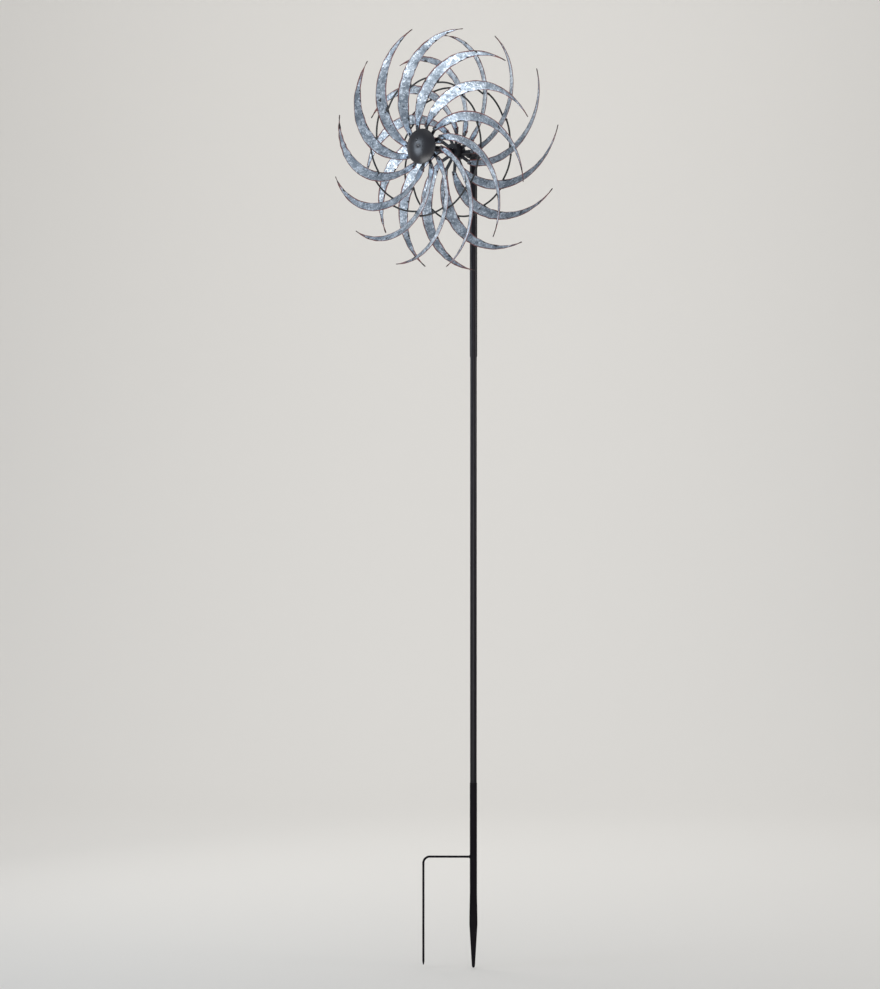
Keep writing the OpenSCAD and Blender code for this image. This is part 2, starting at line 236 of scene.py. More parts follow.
def outward(points, faces):
    """The same faces, turned so that the skin's volume is positive: the sum of its cones on the origin."""
    volume = 0.0
    for face in faces:
        corner = points[np.asarray(face)]
        volume += (np.cross(corner[1:-1], corner[2:]) @ corner[0]).sum()
    return faces if volume > 0 else [np.asarray(f)[::-1] for f in faces]


def joined(parts):
    """One set of points and faces from several."""
    points, faces, first = [], [], 0
    for part_points, part_faces in parts:
        points.append(part_points)
        faces.extend(np.asarray(f) + first for f in outward(part_points, part_faces))
        first += len(part_points)
    return np.concatenate(points), faces


def round_angles(count):
    """Equal angles once round a circle, without the closing one."""
    return np.linspace(0, 2 * np.pi, count, endpoint=False)


def about_y(reach, level, angle):
    """Points at a reach and an angle about the y axis, and at a level along it."""
    return np.stack(np.broadcast_arrays(reach * np.cos(angle), level, reach * np.sin(angle)), -1)


def frames_along(path):
    """Unit tangents of a path and two unit normals carried along it without twist."""
    tangent = np.gradient(path, axis=0)
    tangent /= np.linalg.norm(tangent, axis=1)[:, None]
    start = np.cross(tangent[0], [0.0, 0.0, 1.0])
    if np.linalg.norm(start) < 0.1:
        start = np.cross(tangent[0], [1.0, 0.0, 0.0])
    normal = np.empty_like(path)
    normal[0] = start / np.linalg.norm(start)
    for i in range(1, len(path)):
        side = normal[i - 1] - tangent[i] * np.dot(normal[i - 1], tangent[i])
        normal[i] = side / np.linalg.norm(side)
    return tangent, normal, np.cross(tangent, normal)


def rod(path, radius, around=16):
    """Circle of the given radius (one value, or one per point) carried along a path."""
    _, normal, other = frames_along(path)
    angle = round_angles(around)
    radius = np.broadcast_to(radius, len(path))[:, None, None]
    circle = np.cos(angle)[None, :, None] * normal[:, None] + np.sin(angle)[None, :, None] * other[:, None]
    return loft(path[:, None] + radius * circle)


def lathe(profile, origin, axis, around=64, loop=True):
    """Profile of (radius, height) pairs turned about an axis through origin: the point at angle a is
    origin + height * axis + radius * (cos a * side + sin a * other)."""
    axis = np.asarray(axis, float) / np.linalg.norm(axis)
    side = np.cross(axis, [1.0, 0.0, 0.0] if abs(axis[0]) < 0.5 else [0.0, 1.0, 0.0])
    side /= np.linalg.norm(side)
    other = np.cross(axis, side)
    angle = round_angles(around)
    spoke = np.cos(angle)[:, None] * side + np.sin(angle)[:, None] * other
    profile = np.asarray(profile, float)
    rings = profile[:, 0][:, None, None] * spoke[None] + profile[:, 1][:, None, None] * axis + origin
    return loft(rings, loop=loop)


def rounded_profile(outer, inner, low, high, chamfer):
    """Section of a tube wall with chamfered corners, as a loop of (radius, height) pairs."""
    return [(inner + chamfer, low), (outer - chamfer, low), (outer, low + chamfer),
            (outer, high - chamfer), (outer - chamfer, high), (inner + chamfer, high),
            (inner, high - chamfer), (inner, low + chamfer)]


def bezier(points, count):
    """Cubic curve over four points: sum of the Bernstein weights times the points."""
    t = np.linspace(0, 1, count)[:, None]
    a, b, c, d = (np.asarray(p, float) for p in points)
    return (1 - t) ** 3 * a + 3 * (1 - t) ** 2 * t * b + 3 * (1 - t) * t ** 2 * c + t ** 3 * d


def smooth(x):
    """Rises from 0 to 1 as x goes from 0 to 1, level at both ends: 3x^2 - 2x^3."""
    x = np.clip(x, 0, 1)
    return x * x * (3 - 2 * x)


def bead(path, radius, lumps, seed, around=12):
    """Weld bead: a rod whose radius swells and shrinks as a sine with a seeded wobble."""
    rng = np.random.default_rng(seed)
    t = np.linspace(0, 1, len(path))
    swell = 1 + 0.16 * np.sin(2 * np.pi * lumps * t) + rng.normal(0, 0.05, len(path))
    return rod(path, radius * swell, around)


def finish_piece(piece, body, slot, material, *nodes):
    """Gives a piece its material and body and hides the CAD nodes it stands for; slot is not used."""
    piece.data.materials.clear()
    piece.data.materials.append(material)
    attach(piece, body)
    if nodes:
        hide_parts(*nodes)
    return piece


def closed_piece(name, skin, angle, body, slot, finish, *nodes):
    """A closed piece from its points and faces, smooth up to an angle, with its finish and body."""
    points, faces = skin
    piece = put_mesh(name, points, outward(points, faces), angle)
    return finish_piece(piece, body, slot, material(finish), *nodes)


# ---------------------------------------------------------------- materials

class Socket:
    """A shader output with arithmetic: each operation on it adds a Math node."""

    def __init__(self, tree, out):
        self.tree = tree
        self.out = out

    def math(self, operation, *values):
        return self.tree.add("ShaderNodeMath", {"operation": operation}, *([self] + list(values)))

    def __add__(self, other):
        return self.math("ADD", other)

    __radd__ = __add__

    def __sub__(self, other):
        return self.math("SUBTRACT", other)

    def __rsub__(self, other):
        return self.tree.add("ShaderNodeMath", {"operation": "SUBTRACT"}, other, self)

    def __mul__(self, other):
        return self.math("MULTIPLY", other)

    __rmul__ = __mul__

    def clamped(self):
        return self.tree.add("ShaderNodeClamp", {}, self)

    def ramp(self, low, high):
        """0 below low, 1 above high, smooth between; low may be the greater of the two."""
        return self.tree.add("ShaderNodeMapRange", {"interpolation_type": "SMOOTHSTEP"}, self, low, high)


class Tree:
    """The node tree of one material, with its Principled shader."""

    def __init__(self, name):
        self.material = bpy.data.materials.new(name)
        self.material.use_nodes = True
        self.nodes = self.material.node_tree.nodes
        self.links = self.material.node_tree.links
        self.shader = next(n for n in self.nodes if n.type == "BSDF_PRINCIPLED")

    def plug(self, socket, value):
        if isinstance(value, Socket):
            self.links.new(value.out, socket)
        else:
            socket.default_value = value

    def add(self, kind, settings, *values, out=0, **named):
        """A node of any kind: its settings first, then the values or links of its sockets."""
        node = self.nodes.new(kind)
        for key, value in settings.items():
            setattr(node, key, value)
        for socket, value in zip(node.inputs, values):
            self.plug(socket, value)
        for key, value in named.items():
            self.plug(node.inputs[key.replace("_", " ")], value)
        return Socket(self, node.outputs[out])

    def mix(self, factor, first, second):
        """Colour mix: first where factor is 0, second where it is 1."""
        node = self.nodes.new("ShaderNodeMix")
        node.data_type = "RGBA"
        for index, value in ((0, factor), (6, first), (7, second)):
            if not isinstance(value, Socket) and index:
                value = tuple(value)[:3] + (1.0,)
            self.plug(node.inputs[index], value)
        return Socket(self, node.outputs[2])

    def place(self):
        """Position on the piece in the row frame, in metres."""
        return self.add("ShaderNodeTexCoord", {}, out=3)

    def stretched(self, vector, scale):
        return self.add("ShaderNodeMapping", {}, vector, Scale=scale)

    def noise(self, vector, scale, detail=3.0, roughness=0.55, out=0):
        return self.add("ShaderNodeTexNoise", {}, Vector=vector, Scale=scale, Detail=detail,
                        Roughness=roughness, out=out)

    def cells(self, vector, scale, out=0):
        return self.add("ShaderNodeTexVoronoi", {"feature": "F1"}, Vector=vector, Scale=scale, out=out)

    def bump(self, height, strength, distance):
        return self.add("ShaderNodeBump", {}, Strength=strength, Distance=distance, Height=height)

    def split(self, vector):
        node = self.nodes.new("ShaderNodeSeparateXYZ")
        self.plug(node.inputs[0], vector)
        return [Socket(self, node.outputs[i]) for i in range(3)]

    def attribute(self, name):
        """The three parts of a vector attribute of the mesh."""
        return self.split(self.add("ShaderNodeAttribute", {"attribute_name": name}, out=1))

    def surface(self, base, roughness, metallic, normal=None, **constants):
        """Sets the shader's sockets; numbers stay on them as plain values."""
        for key, value in (("Base Color", base), ("Roughness", roughness), ("Metallic", metallic)):
            if not isinstance(value, (Socket, float, int)):
                value = tuple(value)[:3] + (1.0,)
            self.plug(self.shader.inputs[key], value)
        if normal is not None:
            self.plug(self.shader.inputs["Normal"], normal)
        for key, value in constants.items():
            self.shader.inputs[key.replace("_", " ")].default_value = value
        return self.material


def zinc_sheet():
    """Hot-dip zinc with coarse spangle: each crystal has its own brightness and gloss, the cut edges
    are rusted in an uneven band, scorched spots sit mostly by the inner edge, the roots are darker and
    rougher over their first few centimetres, and the very ends are burnt."""
    tint, blade = finishes(), sizes()[0]
    tree = Tree("zinc_sheet")
    place = tree.place()
    along, across, half = tree.attribute("blade_place")
    edge = (1.0 - across.math("ABSOLUTE")) * half
    inner = (across + 1.0) * half
    warp = tree.noise(place, 260.0, 2.0, out=1)
    warped = tree.add("ShaderNodeVectorMath", {"operation": "MULTIPLY_ADD"}, warp, (0.005,) * 3, place)
    crystal, glint, _ = tree.split(tree.cells(warped, 190.0, out=1))
    flake = tree.split(tree.cells(warped, 380.0, out=1))[1]
    cloud = tree.noise(place, 42.0, 4.0, 0.6)
    grain = tree.noise(place, 420.0, 3.0, 0.6)
    bright = (crystal.ramp(0.5, 0.95) * 0.4 + flake.ramp(0.74, 0.9) * 0.6 + (cloud - 0.5) * 1.6
              + (grain - 0.5) * 0.4).clamped()
    # the blade turns darker and rougher towards its root
    root_dull = along.ramp(0.034, 0.012)
    dull = ((0.5 - cloud) * 1.8 + flake.ramp(0.35, 0.05) * 0.5 + crystal.ramp(0.35, 0.0) * 0.3
            + root_dull * 0.55).clamped()
    zinc = tree.mix(bright, tint.zinc, tint.spangle)
    zinc = tree.mix(dull, zinc, tint.zinc_shade)
    ragged = tree.noise(place, 300.0, 4.0, 0.7)
    patchy = tree.noise(place, 26.0, 2.0)
    band = 0.0007 + patchy.ramp(0.40, 0.62) * 0.0019
    rust = (edge - (ragged - 0.25) * 0.0016).ramp(band, band * 0.45)
    spot_field = tree.noise(place, 78.0, 3.0, 0.55)
    spotty = spot_field + inner.ramp(0.0050, 0.0010) * 0.10 + edge.ramp(0.0035, 0.0008) * 0.02
    spots = spotty.ramp(0.665, 0.69)
    run = centre_arc()[1] * blade.curl
    ends = (along + (ragged - 0.5) * 0.012).ramp(run - 0.014, run - 0.003) + along.ramp(0.004, 0.0)
    scorch = (spots + ends * 0.8).clamped()
    colour_out = tree.mix(rust * 0.92, zinc, tint.rust)
    colour_out = tree.mix(scorch * 0.94, colour_out, tint.scorch)
    worn = (rust + scorch).clamped()
    rough = 0.42 + (glint - 0.5) * 0.26 + (grain - 0.5) * 0.16 + worn * 0.35 + root_dull * 0.14
    metal = 0.80 - worn * 0.7
    relief = glint * 0.5 + grain * 0.35 + cloud * 1.2 + worn * 0.8
    return tree.surface(colour_out, rough.clamped(), metal, tree.bump(relief, 0.4, 0.0007))


def satin_paint(name, tint, rough, wear, gloss):
    """Sprayed black paint: fine orange peel, dusty patches, small chips that show dull metal."""
    tree = Tree(name)
    place = tree.place()
    peel = tree.noise(place, 1400.0, 2.0)
    dust = tree.noise(place, 35.0, 4.0, 0.62)
    chip = tree.noise(place, 420.0, 3.0, 0.7)
    chips = (chip - 0.04 * dust).ramp(0.735, 0.76) * wear
    pale = tuple(0.012 + c for c in tint)
    base = tree.mix(dust.ramp(0.5, 0.75) * 0.35, tint, pale)
    base = tree.mix(chips, base, (0.16, 0.15, 0.15))
    roughness = (rough - 0.08) + dust * 0.14 + (peel - 0.5) * 0.06
    return tree.surface(base, roughness, chips * 0.6, tree.bump(peel * 0.4 - chips, 0.18, 0.0003),
                        Specular_IOR_Level=gloss)


def plain_metal(name, tint, rough, direction):
    """Turned or drawn metal: fine lines across the given stretch, with slight clouding."""
    tree = Tree(name)
    place = tree.place()
    lines = tree.noise(tree.stretched(place, direction), 60.0, 4.0, 0.7)
    cloud = tree.noise(place, 120.0, 3.0)
    base = tree.mix(cloud.ramp(0.35, 0.75) * 0.5, tint, tuple(0.72 * c for c in tint))
    return tree.surface(base, rough + (lines - 0.5) * 0.22, 1.0, tree.bump(lines, 0.15, 0.0002))


def moulded_nylon():
    """Natural nylon: slightly translucent-looking, matt, with faint turning marks."""
    tree = Tree("moulded_nylon")
    marks = tree.noise(tree.stretched(tree.place(), (1.0, 1.0, 18.0)), 50.0, 3.0)
    base = tree.mix(marks * 0.4, finishes().nylon, tuple(0.85 * c for c in finishes().nylon))
    return tree.surface(base, 0.5 + marks * 0.1, 0.0, tree.bump(marks, 0.1, 0.0002))


def studio_floor():
    """Pale painted floor with very faint cloudiness."""
    tree = Tree("studio_floor")
    cloud = tree.noise(tree.place(), 1.5, 4.0)
    base = tree.mix(cloud * 0.12, finishes().floor, tuple(0.93 * c for c in finishes().floor))
    return tree.surface(base, 0.85, 0.0)


MATERIALS = {}
MAKERS = {"zinc_sheet": zinc_sheet, "nylon": moulded_nylon, "floor": studio_floor}
PAINTS = {  # colour, roughness, wear, gloss
    "hub_paint": ("paint", 0.48, 0.3, 0.3),
    "cap_paint": ("paint", 0.31, 0.12, 0.65),
    "pole_paint": ("pole_paint", 0.36, 0.2, 0.22),
    "stake_paint": ("pole_paint", 0.46, 0.6, 0.08),
    "wire_paint": ("wire", 0.5, 0.4, 0.45),
}
METALS = {  # colour, roughness, stretch of its lines
    "plated_steel": ("plated", 0.34, (1.0, 14.0, 1.0)),
    "race_steel": ("race", 0.18, (1.0, 10.0, 1.0)),
}


def material(name):
    """The named material, made the first time it is asked for."""
    if name not in MATERIALS:
        if name in MAKERS:
            MATERIALS[name] = MAKERS[name]()
        else:
            maker, table = (satin_paint, PAINTS) if name in PAINTS else (plain_metal, METALS)
            tint, *values = table[name]
            MATERIALS[name] = maker(name, tuple(getattr(finishes(), tint)), *values)
    return MATERIALS[name]


# ---------------------------------------------------------------- blades

def turned_about_axle(points, angle):
    """Points of a rotor turned against the clock, seen from the front, about the axle."""
    cos, sin = math.cos(angle), math.sin(angle)
    x, y, z = np.moveaxis(points, -1, 0)
    return np.stack([x * cos - z * sin, y, x * sin + z * cos], -1)


def on_rotor(points, side, index=0):
    """Puts points of a rotor's own frame in their place: turned to blade number index, mirrored
    for the rear rotor, turned by the rotor's phase and moved to its centre."""
    blade, _ = sizes()
    points = turned_about_axle(points, index * 2 * math.pi / blade.count)
    if side == "rear":
        points = points * np.array([1.0, 1.0, -1.0])
    phase = blade.front_phase if side == "front" else blade.rear_phase
    return turned_about_axle(points, phase) + rotor_centre(side)


def centre_arc():
    """The blade's centreline: the arc's centre, its radius and its start angle."""
    blade, _ = sizes()
    root = np.array([blade.root_radius, 0.0])
    tip = blade.tip_radius * np.array([math.cos(blade.sweep), -math.sin(blade.sweep)])
    chord = tip - root
    span = np.linalg.norm(chord)
    radius = span / 2 / math.sin(blade.curl / 2)
    centre = (root + tip) / 2 + np.array([chord[1], -chord[0]]) / span * radius * math.cos(blade.curl / 2)
    start = math.atan2(root[1] - centre[1], root[0] - centre[0])
    return centre, radius, start


def half_width(s):
    """Grows as a quarter sine from the root to the widest place, then falls as a quarter cosine."""
    blade, _ = sizes()
    root, wide = blade.root_width / 2, blade.width / 2
    rising = root + (wide - root) * np.sin(np.pi / 2 * s / blade.widest_at)
    falling = wide * np.cos(np.pi / 2 * (s - blade.widest_at) / (1 - blade.widest_at))
    return np.where(s < blade.widest_at, rising, np.maximum(blade.tip_width / 2, falling))


def twist_at(s):
    """How much of the pitch a blade has at s: none on the arm, all of it once it has twisted."""
    blade, hub = sizes()
    _, radius, _ = centre_arc()
    flat = (hub.arm_radius - blade.root_radius + blade.flat_margin) / (radius * blade.curl)
    return smooth((s - flat) / blade.twist_share)


def blade_surface(s, q, t, wobble=0.0):
    """Point of a blade: s along it from root to tip, q across it from -1 (inner edge) to 1 (outer
    edge), t through it. The centreline is an arc in the rotor's plane that bows forward; the cross
    line is turned out of the plane by the pitch, which grows smoothly past the flat root."""
    blade, _ = sizes()
    centre, radius, start = centre_arc()
    loose = twist_at(s)
    pitch = blade.pitch * loose
    across = q * (half_width(s) + wobble * loose)
    dish = blade.camber * (1 - q * q) * loose
    through = t - dish
    out = radius + across * np.cos(pitch) - through * np.sin(pitch)
    forward = ((4 * blade.bow * s * (1 - s) - blade.setback * s) * loose
               + across * np.sin(pitch) + through * np.cos(pitch) - blade.sheet / 2)
    angle = start - blade.curl * s
    return np.stack([centre[0] + out * np.cos(angle), -forward, centre[1] + out * np.sin(angle)], -1)


def blade_rings(seed, steps=120, across=9):
    """Rings of points round the sheet, with its corners rounded, from root to tip."""
    blade, _ = sizes()
    rng = np.random.default_rng(seed)
    s = np.linspace(-blade.root_tab / (centre_arc()[1] * blade.curl), 1, steps)[:, None]
    waves = sum(rng.normal(0, 0.00009) * np.sin(2 * np.pi * (k * s + rng.random())) for k in range(5, 16))
    half = blade.sheet / 2
    q = np.linspace(-1, 1, across)
    front = np.stack([q, np.where(np.abs(q) < 1, half, half * 0.55)])
    back = front[:, ::-1] * np.array([[1.0], [-1.0]])
    loop = np.concatenate([front, back], 1)
    shrink = 1 - 0.12 * (s > 0.999)
    return blade_surface(s, loop[0][None] * shrink, loop[1][None], waves), s, loop[0]


def blade_piece(side, index):
    """One crescent blade as a closed shell; blade_place keeps, for the finish, the length along it,
    the place across it (-1 inner edge, 1 outer edge) and its half width there."""
    blade, _ = sizes()
    rings, s, q = blade_rings(100 * (side == "rear") + index)
    name = "%s_crescent_%02d" % (side, index + 1)
    points, faces = loft(on_rotor(rings, side, index))
    piece = put_mesh(name, points, outward(points, faces), 50.0)
    run = centre_arc()[1] * blade.curl
    place = np.stack(np.broadcast_arrays(s * run, q[None], half_width(s)), -1)
    layer = piece.data.attributes.new("blade_place", "FLOAT_VECTOR", "POINT")
    layer.data.foreach_set("vector", place.reshape(-1))
    return finish_piece(piece, side + "_rotor", "galvanised_sheet", material("zinc_sheet"),
                        "%s_blade_%02d" % (side, index + 1))


class WIND_OT_blades(bpy.types.Operator):
    """Make the crescent blades of both rotors"""
    bl_idname = "wind.blades"
    bl_label = "Blades"

    def execute(self, context):
        blade, _ = sizes()
        for side in SIDES:
            for index in range(blade.count):
                blade_piece(side, index)
        return {"FINISHED"}


def brace_path(steps=24):
    """Route of a brace wire in the rotor's own frame: from the back of one blade, bowed outwards, to
    the inner edge of the next blade, where its end is bent along that edge as a short foot."""
    blade, _ = sizes()
    step = 2 * math.pi / blade.count
    place, behind = blade.brace_share, -blade.sheet / 2 - blade.brace_d * 0.4
    start = blade_surface(place, blade.brace_across, behind)
    end = turned_about_axle(blade_surface(place, -1.0, 0.0), step)
    foot = turned_about_axle(blade_surface(place + 0.03, -0.9, -blade.brace_d * 0.5), step)
    lift = np.array([1.0, 0.0, 0.0])
    swell = turned_about_axle(lift, math.atan2((start + end)[2], (start + end)[0])) * 0.0055
    wire = bezier([start, start * 2 / 3 + end / 3 + swell, start / 3 + end * 2 / 3 + swell, end], steps)
    reach = np.linspace(0, 1, 6)[1:, None]
    return np.concatenate([wire, end + (foot - end) * reach])


class WIND_OT_braces(bpy.types.Operator):
    """Make the brace wires and the weld beads at their ends"""
    bl_idname = "wind.braces"
    bl_label = "Brace wires"

    def execute(self, context):
        blade, _ = sizes()
        radius = blade.brace_d / 2
        for side in SIDES:
            parts = []
            for index in range(blade.count):
                path = on_rotor(brace_path(), side, index)
                taper = np.ones(len(path))
                taper[[0, -1]] = 0.7
                parts.append(rod(path, radius * taper, 14))
                for place, run in ((path[:4], 0.0028), (path[-7:-3], 0.0024)):
                    middle = place.mean(0)
                    along = (place[-1] - place[0]) / np.linalg.norm(place[-1] - place[0])
                    blob = middle + along * np.linspace(-run, run, 9)[:, None]
                    round_off = np.sqrt(np.clip(1 - np.linspace(-0.98, 0.98, 9) ** 2, 0.02, 1))
                    parts.append(rod(blob, radius * 1.35 * round_off, 12))
            closed_piece(side + "_braces", joined(parts), 40.0, side + "_rotor", "black_wire",
                         "wire_paint", side + "_brace_wires")
        return {"FINISHED"}


# ---------------------------------------------------------------- hubs

def arm_outline(bore, steps=5):
    """Outline of the arm plate: the collar's rim between the arms, and each arm's two corners."""
    blade, hub = sizes()
    disc, half = bore + hub.collar, hub.arm_width / 2
    foot = math.asin(half / disc)
    outline = []
    for index in range(blade.count):
        middle = index * 2 * math.pi / blade.count
        nxt = middle + 2 * math.pi / blade.count
        end = math.atan2(half, hub.arm_radius)
        reach = math.hypot(half, hub.arm_radius)
        outline += [(reach, middle - end), (reach, middle + end)]
        outline += [(disc, angle) for angle in np.linspace(middle + foot, nxt - foot, steps)]
    reach, angle = np.array(outline).T
    return np.stack([reach * np.cos(angle), reach * np.sin(angle)], -1)


def arm_plate_piece(side):
    """The arm plate behind the blades' roots, with its bore, as one ring-shaped solid."""
    blade, hub = sizes()
    bore = node_radius(side + "_hub_barrel")
    outer = arm_outline(bore)
    angle = np.arctan2(outer[:, 1], outer[:, 0])
    inner = bore * np.stack([np.cos(angle), np.sin(angle)], -1)
    front, back = blade.sheet, blade.sheet + hub.plate
    rings = []
    for flat, depth in ((outer, back), (outer, front), (inner, front), (inner, back)):
        rings.append(np.stack([flat[:, 0], np.full(len(flat), depth), flat[:, 1]], -1))
    points, faces = loft(on_rotor(np.array(rings), side), loop=True)
    piece = put_mesh(side + "_arms", points, outward(points, faces), 30.0)
    bevel = piece.modifiers.new("edges", "BEVEL")
    bevel.width, bevel.segments, bevel.limit_method = 0.0003, 2, "ANGLE"
    bevel.angle_limit = math.radians(40)
    return finish_piece(piece, side + "_rotor", "black_paint", material("hub_paint"), side + "_arm_plate")


def rivet_profile(radius, height, steps=7):
    """Half section of a domed head: a quarter ellipse from the rim to the crown."""
    angle = np.linspace(0, np.pi / 2, steps)
    dome = [(max(radius * math.cos(a), PINHOLE), height * math.sin(a) + 0.0002) for a in angle]
    return [(radius, 0.0)] + dome


def rivets_piece(side):
    """A rivet through every blade root and arm, domed in front and behind."""
    blade, hub = sizes()
    parts = []
    for index in range(blade.count):
        for level, way in ((0.0, -1.0), (blade.sheet + hub.plate, 1.0)):
            centre = np.array([hub.arm_radius - hub.rivet_edge, level, 0.0])
            points, faces = lathe(rivet_profile(hub.rivet_d / 2, hub.rivet_h - 0.0002), centre,
                                  (0.0, way, 0.0), 14, loop=False)
            parts.append((on_rotor(points, side, index), faces))
    return closed_piece(side + "_rivets", joined(parts), 50.0, side + "_rotor", "dark_fastener",
                        "hub_paint", side + "_blade_rivets")


def dome_height(reach, radius, rim, dome):
    """Height of a spherical dome of the given rise over its rim circle."""
    ball = (radius ** 2 + dome ** 2) / (2 * dome)
    return rim + dome - ball + np.sqrt(np.maximum(ball ** 2 - reach ** 2, 0))


def ridge(distance, place, width):
    """A round ridge of height 1 at a distance from its centre: a bell curve of the given width."""
    return np.exp(-((distance - place) / width) ** 2)


def cap_piece():
    """Pressed cap: a spherical dome with a rolled edge, a dimple in the middle and a drain dimple
    beside it, and the collar that carries it on the barrel."""
    _, hub = sizes()
    radius, wall, roll = hub.cap_d / 2, hub.cap_wall, 0.0012
    centre = rotor_centre("front")
    back = centre[1] - box("front_hub_cap")[1][1]
    rim = radius - roll
    reach = rim * np.linspace(0.001, 1, 64) ** 0.8
    angle = round_angles(144)
    shoulder = np.linspace(0.08, 1, 9) * np.pi / 2
    drop = dome_height(rim, radius, hub.cap_rim, hub.cap_dome)
    outer_r = np.concatenate([reach, rim + roll * np.sin(shoulder), [radius, radius, radius - 0.0002]])
    outer_h = np.concatenate([dome_height(reach, radius, hub.cap_rim, hub.cap_dome),
                              drop - roll + roll * np.cos(shoulder), [drop * 0.4, 0.0002, 0.0]])
    x, z = outer_r[:, None] * np.cos(angle), outer_r[:, None] * np.sin(angle)
    off, middle = np.hypot(x, z - hub.cap_hole_radius), np.hypot(x, z)
    # the drain dimple and its lip, then the middle dimple with its floor, the nib in it and its lip
    sunk = 0.0022 * (1 - smooth((off - hub.cap_hole_d * 0.28) / (hub.cap_hole_d * 0.34)))
    sunk -= 0.0003 * ridge(off, hub.cap_hole_d * 0.8, 0.0008)
    sunk += 0.0012 * (1 - smooth((middle - 0.0021) / 0.0016)) - 0.0009 * (1 - smooth(middle / 0.0018))
    sunk += 0.0014 * ridge(np.hypot(x, z - 0.0012), 0.0, 0.0009)
    sunk -= 0.00025 * ridge(middle, 0.0046, 0.0007)
    outer = about_y(outer_r[:, None], -(back + outer_h[:, None] - sunk), angle)
    inner_r = np.maximum(outer_r - wall, 0.00003)[::-1]
    inner_h = np.maximum(outer_h - wall, 0.0)[::-1]
    inner = about_y(inner_r[:, None], -(back + inner_h[:, None] - sunk[::-1]), angle)
    dish = loft(on_rotor(np.concatenate([outer, inner]), "front"), loop=True)
    collar_r = node_radius("front_hub_barrel")
    base = centre[1] - box("front_hub_barrel")[0][1]
    top = back + dome_height(collar_r, radius, hub.cap_rim, hub.cap_dome) - wall / 2
    profile = rounded_profile(collar_r, collar_r - 0.002, base, top, 0.0002)
    collar = lathe(profile, centre, FORWARD, 72)
    return closed_piece("front_cap", joined([dish, collar]), 40.0, "front_rotor", "black_cap",
                        "cap_paint", "front_hub_cap")


def lathe_piece(name, profile, origin, axis, body, slot, finish, *nodes, around=64):
    """One closed turned piece from a loop of (radius, height) pairs."""
    return closed_piece(name, lathe(profile, origin, axis, around), 35.0, body, slot, finish, *nodes)


class WIND_OT_hubs(bpy.types.Operator):
    """Make both hubs: arm plate, rivets, cap and barrel, and finish the bearings inside them"""
    bl_idname = "wind.hubs"
    bl_label = "Hubs"

    def execute(self, context):
        blade, hub = sizes()
        for side in SIDES:
            arm_plate_piece(side)
            rivets_piece(side)
            centre = rotor_centre(side)
            low, high = box(side + "_hub_barrel")
            front, back = centre[1] - low[1], centre[1] - high[1]
            seat, outer = node_radius(side + "_bearing_outer_races"), node_radius(side + "_hub_barrel")
            bore, width = seat - RACE_WALL, BEARING_WIDTH
            profile = [(seat, back), (seat, back + width), (bore, back + width), (bore, front - width),
                       (seat, front - width), (seat, front), (outer - 0.0008, front), (outer, front - 0.0008),
                       (outer, back + 0.0012), (outer - 0.0012, back)]
            lathe_piece(side + "_barrel", profile, centre, FORWARD, side + "_rotor", "black_paint",
                        "hub_paint", side + "_hub_barrel")
            path = about_y(outer + 0.0003, blade.sheet + hub.plate + 0.0004, np.linspace(0, 2 * np.pi, 97))
            points, faces = bead(path, radius=0.0013, lumps=34, seed=11)
            closed_piece(side + "_hub_weld", (on_rotor(points, side), faces), 60.0, side + "_rotor",
                         "black_paint", "hub_paint")
            for part in ("bearing_outer_races", "bearing_inner_races", "bearing_balls"):
                set_finish(side + "_" + part, "race_steel")
            set_finish(side + "_hub_spacer", "plated_steel")
        cap_piece()
        set_finish("rear_hub_cover", "hub_paint")
        return {"FINISHED"}


def set_finish(node, finish):
    """Gives a CAD node that stays its procedural finish."""
    materials = frame["nodes"][node].data.materials
    materials.clear()
    materials.append(material(finish))


# ---------------------------------------------------------------- axle and head

def nut_surface(flats, height, bore, around=96):
    """Hexagon nut: the radius at each angle is the hexagon's, cut back near both ends by a cone."""
    angle = round_angles(around)
    hexagon = flats / 2 / np.cos((angle + np.pi / 6) % (np.pi / 3) - np.pi / 6)
    level = np.array([0.0, 0.04, 0.09, 0.16, 0.5, 0.84, 0.91, 0.96, 1.0]) * height
    end = np.minimum(level, height - level)
    cone = flats / 2 * 0.96 + end * 1.5
    outer = np.minimum(hexagon[None], cone[:, None])
    inner = np.array([bore + 0.0005, bore, bore, bore + 0.0005])
    inner_level = np.array([height, height - 0.0005, 0.0005, 0.0])
    reach = np.concatenate([outer, np.repeat(inner[:, None], around, 1)])
    return reach, np.concatenate([level, inner_level]), angle


def nut_part(origin, flats, height, bore, way):
    """A nut standing on origin and pointing along the y axis in the given way."""
    reach, level, angle = nut_surface(flats, height, bore)
    return loft(about_y(reach, level[:, None] * way, angle) + origin, loop=True)


def thread_part(origin, radius, run, way, pitch=0.00125, around=48):
    """Threaded end: the radius falls and rises along a helix, as a triangle wave of height and angle."""
    level = np.linspace(0, run, int(run / pitch * 10))
    angle = round_angles(around)
    turn_part = (level[:, None] / pitch + angle[None] / (2 * np.pi)) % 1.0
    depth = 0.00045 * (1 - np.abs(2 * turn_part - 1))
    chamfer = np.clip((run - level) / 0.0008, 0.45, 1)[:, None]
    reach = (radius - depth) * (0.7 + 0.3 * chamfer)
    return loft(about_y(reach, level[:, None] * way, angle) + origin)


